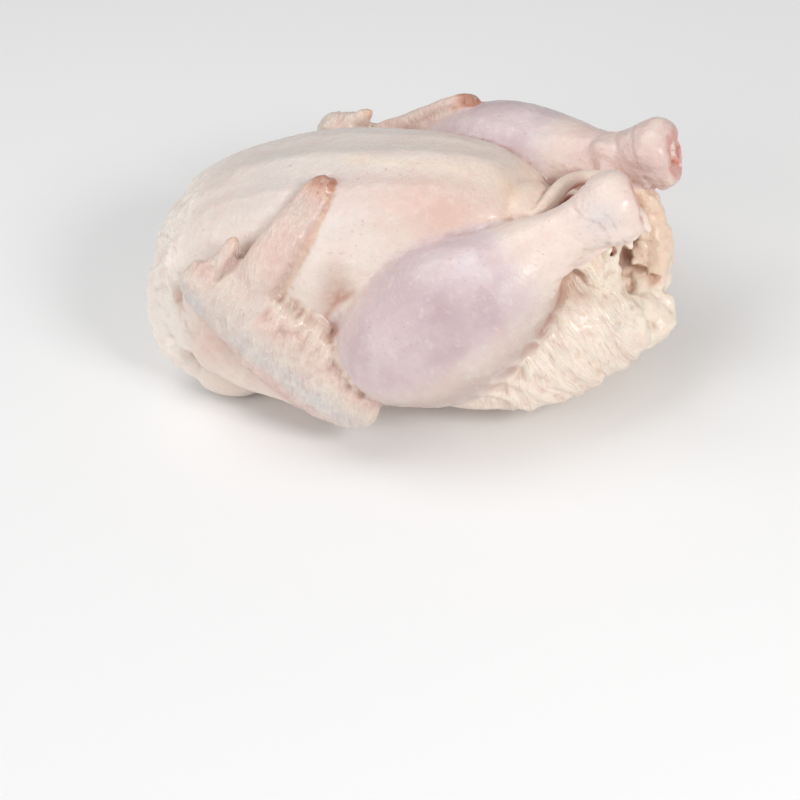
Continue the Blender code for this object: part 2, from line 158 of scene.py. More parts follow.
def paint(mesh, name, kind, rows):
    layer = mesh.attributes.new(name, kind, "POINT")
    field = "vector" if kind == "FLOAT_VECTOR" else "color"
    layer.data.foreach_set(field, rows.astype(np.float32).ravel())


# a copy of a node of the part, with its loose triangles joined
def copyNode(nodeName, name):
    piece = bpy.data.objects.new(name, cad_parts[nodeName].data.copy())
    bpy.context.scene.collection.objects.link(piece)
    makeActive(piece)
    bpy.ops.object.mode_set(mode="EDIT")
    bpy.ops.mesh.select_all(action="SELECT")
    bpy.ops.mesh.remove_doubles(threshold=0.00002)
    bpy.ops.object.mode_set(mode="OBJECT")
    return piece


def fuse(piece, voxel):
    remesh = piece.modifiers.new("fuse", "REMESH")
    remesh.mode = "VOXEL"
    remesh.voxel_size = voxel * mm
    bpy.ops.object.modifier_apply(modifier="fuse")


def fade(value, low, high):
    t = np.clip((np.asarray(value, float) - low) / (high - low), 0, 1)
    return t * t * (3 - 2 * t)


# rises from a to b and falls from c to d
def band(value, a, b, c, d):
    return fade(value, a, b) * fade(value, d, c)


def hashed(cells, seed):
    n = cells[:, 0] * 374761393 + cells[:, 1] * 668265263 + cells[:, 2] * 1274126177 + seed * 974711
    n = n & 0xFFFFFFFF
    n = ((n ^ (n >> 13)) * 1103515245) & 0xFFFFFFFF
    n = n ^ (n >> 16)
    return (n & 0xFFFF) / 32767.5 - 1.0


# smooth noise from -1 to 1 whose bumps are about size mm across; size may differ by axis
def wavy(points, size, seed):
    p = points / np.asarray(size, float)
    cell = np.floor(p).astype(np.int64)
    f = p - cell
    f = f * f * f * (f * (f * 6 - 15) + 10)
    total = np.zeros(len(points))
    for dx in (0, 1):
        for dy in (0, 1):
            for dz in (0, 1):
                corner = np.array((dx, dy, dz))
                total += np.abs(1 - corner - f).prod(axis=1) * hashed(cell + corner, seed)
    return total


def layered(points, size, seed, layers=3):
    total = 0
    for k in range(layers):
        total = total + wavy(points, np.asarray(size, float) / 2**k, seed + 17 * k) / 2**k
    return total / 1.6


# 1 where the value is 0, fading to 0 on both sides; along a noise's zero lines it makes ridges
def bell(value, width):
    return np.exp(-((value / width) ** 2))


def curveThrough(stations, steps):
    rows = np.asarray(stations, float)
    rows = np.vstack([2 * rows[0] - rows[1], rows, 2 * rows[-1] - rows[-2]])
    found = []
    for i in range(1, len(rows) - 2):
        before, a, b, after = rows[i - 1 : i + 3]
        for t in np.linspace(0, 1, steps, endpoint=False):
            found.append(
                0.5 * (2 * a + (b - before) * t + (2 * before - 5 * a + 4 * b - after) * t**2)
                + 0.5 * (3 * a - before - 3 * b + after) * t**3
            )
    found.append(rows[-2])
    return np.array(found)


# distance from each point to a line of points, and the share of the way along it
def alongLine(points, line):
    line = np.asarray(line, float)
    lengths = np.linalg.norm(np.diff(line, axis=0), axis=1)
    starts = np.concatenate([[0], np.cumsum(lengths)])
    best = np.full(len(points), 1e9)
    share = np.zeros(len(points))
    for i, (a, b) in enumerate(zip(line, line[1:])):
        way = b - a
        t = np.clip(((points - a) @ way) / max(way @ way, 1e-9), 0, 1)
        gap = np.linalg.norm(points - a - t[:, None] * way, axis=1)
        near = gap < best
        best[near] = gap[near]
        share[near] = (starts[i] + t[near] * lengths[i]) / starts[-1]
    return best, share


skinLook = {
    "voxel": 0.85,
    "softenRounds": 12,
    "crispRounds": 10,
    "crispAmount": 0.6,
    "creaseRounds": 45,
    "creaseAmount": 0.75,
    "deepestCrease": 2.2,
    "highestSwell": 0.25,
    "crispMost": 0.8,
    "smoothRounds": 26,
    "mostTriangles": 192000,
}


# a soft roll along the stations, each x, y, z and radius in mm
def addRoll(name, stations):
    deselectAll()
    bpy.ops.curve.primitive_nurbs_path_add()
    roll = bpy.context.object
    roll.name = name
    curve = roll.data
    curve.splines.clear()
    rows = curveThrough(stations, 4)
    spline = curve.splines.new("POLY")
    spline.points.add(len(rows) - 1)
    for point, row in zip(spline.points, rows):
        point.co = (*toPart(row[:3]), 1)
        point.radius = max(row[3], 0.3)
    curve.dimensions = "3D"
    curve.bevel_depth = mm
    curve.bevel_resolution = 3
    curve.use_fill_caps = True
    bpy.ops.object.convert(target="MESH")
    roll = bpy.context.object
    bpy.ops.object.mode_set(mode="EDIT")
    bpy.ops.mesh.select_all(action="SELECT")
    bpy.ops.mesh.remove_doubles(threshold=0.00001)
    bpy.ops.mesh.normals_make_consistent(inside=False)
    bpy.ops.object.mode_set(mode="OBJECT")
    return roll


# an oval lump of fat or flesh, half sizes in mm
def addLump(name, centre, size, turn=(0, 0, 0)):
    deselectAll()
    bpy.ops.mesh.primitive_uv_sphere_add(
        segments=24, ring_count=16, radius=1, location=toPart(centre), rotation=turn
    )
    lump = bpy.context.object
    lump.name = name
    lump.scale = [s * mm for s in size]
    bpy.ops.object.transform_apply(location=True, rotation=True, scale=True)
    return lump


# Loose forms that are fused into the skin, in mm. A route's rows are x, y, z and radius. A lump is
# its centre, its half sizes and, where it is turned, its turn. Places that both sides share are
# given from the middle outwards.
looseLook = {
    "forearmFold": {"from": 0.14, "points": 25, "spread": 15.0, "thick": 2.7},
    "handEdge": {"from": 0.26, "to": 0.93, "points": 15, "spread": 8.8, "thick": 1.9},
    # flesh under the forearm: share of its length, how far in front, how far below, half sizes
    "underWing": (
        (0.05, 3, 28, (10, 7, 10)),
        (0.22, 9, 27, (11, 6, 10)),
        (0.42, 12, 20, (9, 6, 8)),
        (0.62, 12, 17, (8, 6, 7)),
    ),
    "elbow": (10.5, 7.5, 11.5),
    "neckFoot": ((-84, 41, 13), (19, 11, 12)),
    # from the palm, over the step where the hand leaves the forearm
    "handRoot": ((15, 1.5, 1, 3), (8, 2.2, -5, 5.5), (2, 1.8, -11, 5.5), (-3, 0, -16, 3)),
    # the fold of skin that stands across the end of the keel, and the lip under it
    "keelFold": (
        (66, -17, 94, 2.4), (71, -10, 96.5, 3.2), (74, -2, 97.5, 3.5), (77, 6, 97.5, 3.3),
        (82, 13, 96, 3), (88, 18, 92.5, 3.2), (93, 21, 87, 3.4),
    ),
    "keelLip": ((61, -5, 95), (11, 13, 6), (0, 0.25, 0)),
    # torn skin and sinew under the near ankle: start, end, radius
    "sinews": (
        ((92, -28, 92), (94, -24, 74), 1.8),
        ((97, -26, 92), (97, -22, 72), 1.5),
        ((102, -23, 93), (98, -19, 70), 2.2),
        ((107, -20, 93), (100, -15, 66), 1.9),
        ((110, -16, 94), (103, 20, 70), 1.5),
        ((104, -12, 92), (106, 18, 62), 1.3),
    ),
    # beside the vent, from the far ankle to the tail, with a strand inside it
    "farFlap": (
        (96, 33, 90, 3.5), (100, 30, 85, 6), (104, 26, 77, 7), (108, 22, 66, 7.5),
        (111, 17, 55, 7.5), (110, 10, 46, 6),
    ),
    "flapStrand": (
        (94, 20, 86, 3.5), (99, 18, 76, 4.2), (101, 19, 68, 3.6), (105, 15, 60, 4.4),
        (104, 9, 52, 4),
    ),
    "tornTip_0": (
        (112, -15, 100, 4.5), (115, -14, 95, 3.2), (117, -13.5, 90, 1.8), (117.6, -13, 86, 0.8),
    ),
    "tornTip_1": ((108, -24, 98, 4.0), (110, -23, 93, 2.6), (111, -22, 88, 1.3), (111.4, -22, 85, 0.7)),
    "fatLumps": (
        ((92, -21, 71), (6, 5, 9), (0.3, 0.2, 0.1)),
        ((96, -17, 61), (6, 5, 8), (0, 0.4, 0.2)),
        ((89, -24, 80), (6, 5, 9), (0.1, 0.5, 0)),
        ((108, 9, 43), (8, 8, 4), (0, 0, 0.4)),
    ),
    "farShank": ((82, 34, 92), (8.5, 6.5, 6.5)),
    # two to an ankle, one above the other
    "knuckles": ((-1, 0.5, 8.2), (0, 0, -7.6)),
    "knuckle": ((9, 9.5, 8.2), (0, -0.4, 0)),
}


# the ruffled fold of skin along the back of the forearm
def forearmFold(side, away):
    look = looseLook["forearmFold"]
    rows = []
    for k, share in enumerate(np.linspace(look["from"], 1.0, look["points"])):
        x, y, z = wayPoint(wrist[side], elbow[side], share)
        wave = 1.1 * math.sin(2.4 * k) + 0.7 * math.sin(5.3 * k)
        spread = look["spread"] * math.sin(math.pi * min(1, 0.25 + 0.66 * share)) + 0.7 * wave
        thick = look["thick"] + 0.55 * math.sin(1.9 * k + 1)
        rows.append((x + 0.60 * spread, y + away * (2.0 - 0.30 * spread), z + 0.72 * spread, thick))
    return rows


def handEdge(side, away):
    look = looseLook["handEdge"]
    rows = []
    for k, share in enumerate(np.linspace(look["from"], look["to"], look["points"])):
        x, y, z = handPoint(side, share)
        spread = look["spread"] - 3.8 * share**2 + 0.35 * math.sin(2.7 * k)
        thick = look["thick"] + 0.25 * math.sin(4.1 * k)
        rows.append((x + 0.78 * spread, y + away * 0.42 * spread, z - 0.42 * spread, thick))
    return rows


# thick where it takes hold, thin between
def sinew(start, end, thick):
    rows = [(*start, thick + 1.4)]
    for share, narrow in ((0.25, 1), (0.5, 0.8), (0.75, 1)):
        rows.append((*wayPoint(start, end, share), thick * narrow))
    return [*rows, (*end, thick + 1.8)]


def looseForms():
    look = looseLook
    made = []
    for side, away in sides.items():
        made.append(addRoll(f"forearmFold_{side}", forearmFold(side, away)))
        made.append(addRoll(f"handEdge_{side}", handEdge(side, away)))
        for k, (share, back, low, size) in enumerate(look["underWing"]):
            x, y, z = wayPoint(wrist[side], elbow[side], share)
            centre = (x - back, y - away * 2, z - low)
            made.append(addLump(f"underWing_{side}_{k}", centre, size, (0, 0.6, 0)))
        x, y, z = elbow[side]
        made.append(addLump(f"elbow_{side}", (x + 1.5, y, z + 1), look["elbow"]))
        (x, y, z), size = look["neckFoot"]
        made.append(addLump(f"neckFoot_{side}", (x, y * away, z), size))
        x, y, z = palm[side]
        rows = [(x + dx, y + dy * away, z + dz, radius) for dx, dy, dz, radius in look["handRoot"]]
        made.append(addRoll(f"handRoot_{side}", rows))
    made.append(addRoll("keelFold", look["keelFold"]))
    made.append(addLump("keelLip", *look["keelLip"]))
    for k, strand in enumerate(look["sinews"]):
        made.append(addRoll(f"sinew_{k}", sinew(*strand)))
    for name in ("farFlap", "flapStrand", "tornTip_0", "tornTip_1"):
        made.append(addRoll(name, look[name]))
    for k, lump in enumerate(look["fatLumps"]):
        made.append(addLump(f"fatLump_{k}", *lump))
    made.append(addLump("farShank", *look["farShank"]))
    for side, away in sides.items():
        x, y, z = legPoint(side, 0.94)
        for k, (dx, dy, dz) in enumerate(look["knuckles"]):
            centre = (x + dx, y + dy * away, z + dz)
            made.append(addLump(f"knuckle_{side}_{k}", centre, *look["knuckle"]))
    return made


def buildSkin():
    skin = copyNode("chicken", "chickenSkin")
    forms = looseForms()
    makeActive(skin)
    for form in forms:
        form.select_set(True)
    bpy.ops.object.join()
    fuse(skin, skinLook["voxel"])
    # pockets that closed up inside are left out
    bpy.ops.mesh.separate(type="LOOSE")
    shells = sorted(bpy.context.selected_objects, key=lambda shell: -len(shell.data.vertices))
    skin = shells[0]
    for shell in shells[1:]:
        bpy.data.objects.remove(shell)
    skin.name = "chickenSkin"
    print("skin fused,", len(skin.data.vertices), "points")
    return skin


# ankles, wing pits, neck feet and seams stay smooth and round
def smoothPlaces(points, at):
    found = [0.6 * at["rim"]]
    for side, away in sides.items():
        found.append(at[f"leg_{side}"] * fade(at[f"legShare_{side}"], 0.50, 0.62))
        for (x, y, z), size in (((-76, 58, 48), (20, 16, 20)), ((-88, 43, 13), (22, 15, 14))):
            found.append(0.9 * fade(spot(points, (x, y * away, z), size), 0.2, 0.6))
        # low down, drumstick and thigh flow together
        seam = bell(at[f"legGap_{side}"] - 1.05, 0.14)
        found.append(seam * fade(points[:, 2], 60, 44) * fade(points[:, 0], 12, 28))
        front = fade(spot(points, (-9, 56 * away, 74), (15, 14, 17)), 0.2, 0.6)
        found.append(0.9 * front * (1 - at[f"forearm_{side}"]))
        # no step where the hand leaves the forearm
        x, y, z = wayPoint(wrist[side], elbow[side], 0.30)
        root = spot(points, (x - 1, y + away * 4, z + 3), (15, 10, 13))
        found.append(fade(root, 0.25, 0.6))
    return np.maximum.reduce(found)[:, None]


# takes the facets out, then deepens the creases
def softenSkin(skin):
    look = skinLook
    mesh = skin.data
    mean = neighbourMean(mesh)
    points = readPoints(mesh)
    points = relaxed(points, mean, look["softenRounds"], 0.6, 0.45)
    writePoints(mesh, points)
    normals = readNormals(mesh)
    # the creases sink in
    around = blurred(points, mean, look["creaseRounds"], 0.7)
    hollow = np.einsum("ij,ij->i", points - around, normals)
    push = np.clip(hollow * look["creaseAmount"], -look["deepestCrease"], look["highestSwell"])
    push = blurred(push * fade(points[:, 2], 1.0, 6.0), mean, 2, 0.5)
    points = points + normals * push[:, None]
    # the forms come out crisper
    around = blurred(points, mean, look["crispRounds"], 0.7)
    step = points - around
    length = np.maximum(np.linalg.norm(step, axis=1)[:, None], 1e-6)
    points = points + look["crispAmount"] * step * np.minimum(1, look["crispMost"] / length)
    smooth = smoothPlaces(points, places(points, normals))
    points = relaxed(points, mean, look["smoothRounds"], 0.6 * smooth, 0.5 * smooth)
    writePoints(mesh, points)
    print("skin softened")


# how thick each limb is at a share of its length
limbProfiles = {
    "leg": (
        (0, 0.1, 0.2, 0.35, 0.5, 0.62, 0.72, 0.82, 0.93, 1),
        (27, 31, 34, 33, 26, 19, 15, 14, 16, 14),
    ),
    "forearm": ((0, 0.2, 0.45, 0.75, 0.95, 1), (12, 15, 19.5, 19.5, 18, 16)),
    "hand": ((0, 0.35, 0.62, 0.84, 1), (13.5, 13.5, 11.5, 8.5, 5)),
}


# distance to a limb's middle line against its thickness there, and the share of its length
def limbShare(points, line, limb):
    gap, share = alongLine(points, line)
    return gap / np.interp(share, *limbProfiles[limb]), share


# soft masks, 0 to 1, of the bird's regions
def places(points, normals):
    x, y, z = points.T
    inside = insideCavity(points, normals)
    found = {"inside": inside}
    for side, away in sides.items():
        line = [legPoint(side, share) for share in np.linspace(0, 1, 14)]
        ratio, share = limbShare(points, line, "leg")
        leg = fade(ratio, 1.16, 1.02)
        found.update({f"leg_{side}": leg, f"legShare_{side}": share, f"legGap_{side}": ratio})
        line = [handPoint(side, share) for share in np.linspace(0, 1, 9)]
        ratio, share = limbShare(points, line, "hand")
        hand = fade(ratio, 1.15, 0.98)
        found.update({f"hand_{side}": hand, f"handGap_{side}": ratio})
        gap, thumbShare = alongLine(points, [wrist[side], thumbTip[side]])
        found[f"thumb_{side}"] = fade(gap, 8.0, 6.0) * fade(thumbShare, 0.25, 0.5)
        ratio, share = limbShare(points, [wrist[side], elbow[side]], "forearm")
        forearm = fade(ratio, 1.18, 1.03) * fade(y * away, 30, 42)
        found[f"forearm_{side}"] = forearm * (1 - hand * fade(thumbShare, 0.0, 0.2))
        thigh = fade(y * away, 12, 24) * band(x, 30, 50, 108, 118) * fade(z, 92, 80)
        found[f"thigh_{side}"] = thigh * (1 - leg) * (1 - inside)
    found["rim"] = fade(x, 78, 88) * fade(np.abs(y), 34, 26) * fade(z, 36, 44) * fade(z, 98, 88)
    for side in sides:
        found["rim"] *= 1 - found[f"leg_{side}"]
    found["neck"] = fade(x, -88, -104)
    found["tail"] = fade(x, 92, 104) * fade(z, 50, 42) * fade(np.abs(y), 26, 20)
    parts = [f"{part}_{side}" for part in ("forearm", "hand", "thumb") for side in sides]
    wings = np.maximum.reduce([found[part] for part in parts])
    legs = np.maximum(found["leg_right"], found["leg_left"])
    found["wings"] = wings
    found["breast"] = (1 - wings) * (1 - legs) * fade(z, 48, 66) * fade(x, 76, 62) * (1 - inside)
    return found


# the emptied body
cavity = {
    "x": (-84, -76, -58, -30, 0, 30, 54, 68, 76, 86, 100),
    "half": (4, 18, 27, 33, 34, 31, 25, 20, 18, 19, 17),
    "top": (60, 72, 82, 89, 91, 90, 84, 80, 92, 96, 96),
    "bottom": (52, 40, 29, 22, 19, 19, 23, 30, 37, 40, 42),
    "middle": (56, 56, 55, 54, 54, 54, 54, 56, 62, 62, 64),
}


def insideCavity(points, normals):
    x, y, z = points.T
    rows = [np.interp(x, cavity["x"], cavity[row]) for row in ("half", "top", "bottom", "middle")]
    half, top, bottom, middle = rows
    rise = np.where(z > middle, top - middle, middle - bottom)
    level = (np.abs(y) / half) ** 2.2 + (np.abs(z - middle) / np.maximum(rise, 1)) ** 2.2
    inward = -(normals[:, 1] * y + normals[:, 2] * (z - middle))
    inward = inward / np.maximum(np.hypot(y, z - middle), 1)
    return fade(level, 1.5, 1.15) * band(x, -90, -84, 88, 99) * fade(inward, -0.1, 0.25)


# lengthwise and crosswise directions of a wing part; crosswise points to its rear edge
def wingFrame(side, part):
    away = sides[side]
    if part == "forearm":
        start, end, face = wrist[side], elbow[side], (0, 0.92 * away, 0.40)
    else:
        start, end, face = palm[side], wingTip[side], (-0.05, 0.74 * away, 0.67)
    start = np.array(start, float)
    way = np.array(end, float) - start
    way /= np.linalg.norm(way)
    across = np.cross(face, way)
    across /= np.linalg.norm(across)
    return start, way, across if across[0] > 0 else -across


def inFrame(points, side, part):
    start, way, across = wingFrame(side, part)
    rel = points - start
    return rel @ way, rel @ across


# stretched coordinates whose noise runs along the wrinkles, and how wrinkled each place is
def skinFlow(points, at):
    x, y, z = points.T
    flow = np.stack([x / 2.6, y / 2.6, z / 2.6], 1)
    folds = np.full(len(points), 0.10)
    clear = np.ones(len(points))

    def lay(mask, rows, strength):
        nonlocal flow, folds, clear
        share = fade(mask, 0.30, 0.50)
        flow = flow * (1 - share[:, None]) + np.stack(rows, 1) * share[:, None]
        folds = folds * (1 - mask) + strength * mask
        # where two directions meet there are no wrinkles
        clear = clear * np.clip(1 - 8 * share * (1 - share), 0, 1)

    warp = 4.0 * wavy(points, 19, 5) + 1.3 * wavy(points, 7, 6)
    low = fade(z, 98, 80) * fade(x, -30, 10)
    rows = [(0.80 * z - 0.25 * x + warp) / 2.2, (0.9 * x + 0.3 * z) / 14, y / 14]
    lay(at["breast"] * low, rows, 0.42)
    lay(at["neck"], [x / 2.6, y / 3.4, z / 3.4], 0.35)
    for side in sides:
        # the folds lean to the tail above, and hang straighter down near the knee
        out = -sides[side] * y
        near = fade(x, 88, 58)
        across = (0.667 + 0.26 * near) * (x - 75) + (0.622 - 0.27 * near) * (out + 40)
        across += (0.409 - 0.48 * near) * (z - 38)
        along = 0.667 * x - 0.258 * out - 0.697 * z
        lay(at[f"thigh_{side}"], [(across + 0.7 * warp) / 2.1, (along + warp) / 15, (y + z) / 16], 1.0)
        u, v = inFrame(points, side, "forearm")
        lay(at[f"forearm_{side}"], [(u + 0.5 * v + 0.5 * warp) / 2.3, (v - 0.5 * u) / 8, y / 14], 0.75)
        u, v = inFrame(points, side, "hand")
        hand = np.maximum(at[f"hand_{side}"], at[f"thumb_{side}"])
        lay(hand, [(v + 0.3 * u + 0.5 * warp) / 2.2, u / 10, y / 14], 0.70)
        share = at[f"legShare_{side}"]
        shank = at[f"leg_{side}"] * fade(share, 0.58, 0.80)
        lay(shank, [(share * 128 + 0.8 * warp) / 3.0, y / 9, z / 9], 0.14)
    return flow, folds * clear, clear


# 0 where the wrinkles' direction jumps from one point to the next, else 1
def calmSeams(mesh, flow, rounds):
    a, b = edgeEnds(mesh)
    jump = np.linalg.norm(flow[a] - flow[b], axis=1)
    most = np.zeros(len(flow))
    np.maximum.at(most, a, jump)
    np.maximum.at(most, b, jump)
    calm = fade(most, 3.2, 1.9)
    mean = neighbourMean(mesh)
    for _ in range(rounds):
        calm = np.minimum(calm, mean(calm))
    return calm


# distance to a route that is measured along the skin, so the route need not lie on it
def surfaceGap(points, normals, route):
    line = curveThrough(route, 8)
    straight, share = alongLine(points, line)
    way = np.concatenate([[0], np.cumsum(np.linalg.norm(np.diff(line, axis=0), axis=1))])
    rel = points - np.stack([np.interp(share, way / way[-1], line[:, k]) for k in range(3)], 1)
    rel = rel - np.einsum("ij,ij->i", rel, normals)[:, None] * normals
    return np.where(straight < 14, np.linalg.norm(rel, axis=1), 99), share


# how high or deep the sculpted forms are, in mm
wrinkleLook = {
    "softWave": 0.30,
    "thighFold": 1.25,
    "thighFine": 0.66,
    "thighGroove": 1.5,
    "flankDip": 2.6,
    "forearmWrinkle": 0.50,
    "ruffle": (1.30, 0.95),
    "forearmSwell": 0.45,
    "handWrinkle": 0.36,
    "handKnobs": 0.75,
    "thumbNotch": 2.6,
    "wristPocket": 4.0,
    "neckRoll": 2.4,
    "neckPebbles": 0.40,
    "neckGather": (1.9, 0.8),
    "neckPit": 2.5,
    "rimLumps": 0.8,
    "tailDimples": 0.35,
    "tailGroove": 1.6,
    "keelStreak": 0.40,
    "breastStretch": 0.34,
    "shankWrinkle": 0.22,
    "shankPebbles": 0.42,
    "legSwell": 0.45,
    "knuckleDent": 1.1,
    "knuckleFolds": ((0.77, 0.35), (0.835, 0.50), (0.90, 0.40)),  # share of the leg, depth
    "scales": 0.6,
    "ribs": 0.9,
    "membranes": 0.8,
    "grain": 0.10,
}
neckRoutes = {  # from the middle outwards
    "wristPocket": ((-90, 44, 82), (-95, 46, 70), (-96, 47, 58), (-90, 50, 44)),
    "neckRoll": ((-100, 36, 84), (-106, 38, 66), (-105, 43, 44), (-97, 47, 24)),
}


def wrinkles(flow, stretch, seed, width, base):
    return bell(wavy(flow * stretch, 1, seed), width) - base


# fans of fine wrinkles on both thighs
def sculptThighs(lift, points, normals, at, flow, clear):
    look = wrinkleLook
    x, y, z = points.T
    for side, away in sides.items():
        mask = at[f"thigh_{side}"] * fade(np.abs(normals[:, 0]), 1.0, 0.8)
        fold = 1.15 * wavy(flow * (0.52, 0.55, 1), 1, 7)
        fold = fold + 0.45 * bell(wavy(flow * (0.42, 0.5, 1), 1, 17), 0.22)
        fine = wavy(flow * (1.05, 0.85, 1), 1, 8)
        crepe = bell(wavy(points, 4.2, 9), 0.22)
        lower = fade(0.60 * x - 0.80 * z, 6, 34)
        patch = (0.85 + 0.25 * wavy(points, 15, 10)) * clear
        depth = (look["thighFold"] - 0.35 * lower) * (fold - 0.1) + look["thighFine"] * fine
        lift += mask * patch * (depth + 0.2 * lower * (crepe - 0.3))
        # the fold where the drumstick rolls over the thigh
        share = at[f"legShare_{side}"]
        groove = bell(at[f"legGap_{side}"] - 1.08, 0.07) * band(share, 0.24, 0.38, 0.62, 0.76)
        lift -= groove * look["thighGroove"] * fade(x, 24, 44) * band(z, 46, 64, 84, 96)
        # the flank sinks in between breast, knee and forearm
        bare = (1 - at[f"leg_{side}"]) * (1 - at["wings"])
        lift -= bare * look["flankDip"] * spot(points, (-15, 56 * away, 74), (7.5, 13, 15))


def sculptWings(lift, points, at, flow, clear):
    look = wrinkleLook
    y = points[:, 1]
    # forearm: fine wrinkles across, a ruffled back edge
    for side in sides:
        u, v = inFrame(points, side, "forearm")
        mask = at[f"forearm_{side}"]
        lift += clear * mask * look["forearmWrinkle"] * wrinkles(flow, (0.75, 1, 1), 22, 0.3, 0.35)
        ruffle = fade(v, 1, 10) * mask
        bumps = np.stack([u, v * 0.5, y * 0.3], 1)
        broad, fine = look["ruffle"]
        lift += ruffle * (broad * wavy(bumps, 4.4, 23) + fine * wavy(bumps, 2.3, 24))
        lift += mask * look["forearmSwell"] * wavy(np.stack([u * 1.3, v, y * 0.3], 1), 7.5, 25)
    # hand and thumb: long wrinkles, a knobbly rear edge, a notch between the two
    for side in sides:
        u, v = inFrame(points, side, "hand")
        hand = at[f"hand_{side}"]
        mask = np.maximum(hand, at[f"thumb_{side}"])
        lift += clear * mask * look["handWrinkle"] * wrinkles(flow, (0.7, 1, 1), 32, 0.3, 0.35)
        edge = fade(at[f"handGap_{side}"], 0.72, 0.88) * fade(v, 2, 5) * hand
        knobs = wavy(np.stack([u, v * 0.6, y * 0.2], 1), 2.4, 33)
        lift += edge * fade(u, 8, 16) * look["handKnobs"] * knobs
        notch = bell(v + 9.6 - 0.05 * u, 1.5) * band(u, -2, 6, 22, 34)
        lift -= look["thumbNotch"] * mask * notch


def sculptNeck(lift, points, normals, at):
    look = wrinkleLook
    x, y, z = points.T
    # the pocket between the neck's roll of skin and each wrist, and the roll
    for away in sides.values():
        for name, sign, width in (("wristPocket", -1, 3.0), ("neckRoll", 1, 5.5)):
            route = [(a, b * away, c) for a, b, c in neckRoutes[name]]
            gap, share = surfaceGap(points, normals, route)
            lift += sign * look[name] * bell(gap, width) * np.sin(math.pi * np.clip(share, 0.02, 0.98))
    rim = at["rim"]
    lift += rim * look["rimLumps"] * (wavy(points, 6.2, 41) + wavy(points, 3.1, 42))
    pebbles = wavy(points, 4.2, 51) + bell(wavy(points, (13, 13, 22), 52), 0.2) - 0.2
    lift += at["neck"] * look["neckPebbles"] * pebbles
    # loose skin gathered towards the place where the neck was
    around = np.arctan2(y, z - 40)
    spread = np.hypot(y, z - 40)
    gather = np.stack([around * 4.2 + 0.8 * wavy(points, 17, 53), spread / 30 + x / 40, x / 60], 1)
    drawn = fade(x, -96, -110) * fade(spread, 3, 12)
    broad, fine = look["neckGather"]
    folds = broad * wrinkles(gather, 1, 54, 0.26, 0.3) + fine * wavy(gather * (2.3, 2, 2), 1, 55)
    lift += drawn * folds
    lift -= look["neckPit"] * fade(x, -108, -116) * bell(spread, 7)


def sculptBody(lift, points, normals, at, flow, folds, clear):
    look = wrinkleLook
    x, y, z = points.T
    # tail: dimpled, with a groove down the middle of its upper side
    groove = bell(y, 2.2) * fade(normals[:, 2], 0.1, 0.5)
    lift += at["tail"] * (look["tailDimples"] * wavy(points, 3.4, 61) - look["tailGroove"] * groove)
    # breast: streak of fat beside the keel, stretch lines that run down to the thigh
    breast = at["breast"]
    streak = bell(y + 5.5 + 2.4 * wavy(points, 16, 71), 2.6) * band(x, -30, -4, 52, 64)
    patchy = 0.5 + 0.5 * wavy(points, 9, 75)
    lift += breast * fade(z, 88, 98) * look["keelStreak"] * streak * patchy
    stretch = wrinkles(flow, (0.7, 1, 1), 74, 0.28, 0.3)
    lift += clear * breast * fade(folds, 0.12, 0.3) * look["breastStretch"] * stretch


# ankles: rings of loose skin and scaly pebbles below
def sculptAnkles(lift, points, normals, at, flow, clear):
    look = wrinkleLook
    z, up = points[:, 2], normals[:, 2]
    for side in sides:
        leg = at[f"leg_{side}"]
        share = at[f"legShare_{side}"]
        mask = leg * fade(share, 0.60, 0.74)
        lift += clear * mask * look["shankWrinkle"] * wrinkles(flow, (0.6, 1, 1), 82, 0.25, 0.2)
        lift += mask * look["shankPebbles"] * wavy(points, 2.4, 83) * fade(up, 0.1, -0.4)
        lift += leg * fade(share, 0.7, 0.6) * look["legSwell"] * wavy(points, (26, 18, 18), 84)
        # the dimple between the two knuckles
        knuckle = np.array(legPoint(side, 0.95))
        dent = fade(np.linalg.norm(points - knuckle, axis=1), 24, 17) * bell(z - knuckle[2], 2.6)
        lift -= leg * fade(share, 0.82, 0.9) * look["knuckleDent"] * dent
        # skin folds bent round the knuckle, broken here and there
        bent = share + 0.040 * wavy(points, 17, 85) + 0.008 * wavy(points, 5, 86)
        bent = bent + 0.0022 * (z - knuckle[2])
        for k, (ring, depth) in enumerate(look["knuckleFolds"]):
            there = leg * depth * fade(wavy(points, 11, 87 + k), -0.05, 0.35)
            lift -= there * bell(bent - ring, 0.0075)
            lift += there * 0.5 * bell(bent - ring - 0.017, 0.010)
        scales = leg * fade(share, 0.80, 0.88) * fade(up, -0.1, -0.6)
        lift += scales * look["scales"] * wavy(points, 2.6, 95)


# wrinkles, folds, ruffles and lumps that stand out as real shape
def sculptSkin(skin):
    look = wrinkleLook
    mesh = skin.data
    points = readPoints(mesh)
    normals = readNormals(mesh)
    at = places(points, normals)
    x, y, z = points.T
    lift = look["softWave"] * layered(points, 26, 3, 2)
    flow, folds, clear = skinFlow(points, at)
    clear = clear * calmSeams(mesh, flow, 3)
    sculptThighs(lift, points, normals, at, flow, clear)
    sculptWings(lift, points, at, flow, clear)
    sculptNeck(lift, points, normals, at)
    sculptBody(lift, points, normals, at, flow, folds, clear)
    sculptAnkles(lift, points, normals, at, flow, clear)
    # inside: ribs run round the walls, membranes wrinkle
    ribs = np.cos(2 * math.pi * (x + 0.55 * (z - 54)) / 13.0) * fade(x, 62, 40)
    lift += at["inside"] * (look["ribs"] * ribs + look["membranes"] * wavy(points, 7, 91))
    lift += look["grain"] * wavy(points, 2.2, 99)
    # the flat of the back stays flat
    lift *= fade(z, 0.6, 4)
    moved = points + normals * lift[:, None]
    moved[:, 2] = np.maximum(moved[:, 2], 0.02)
    writePoints(mesh, moved)
    print("skin sculpted")


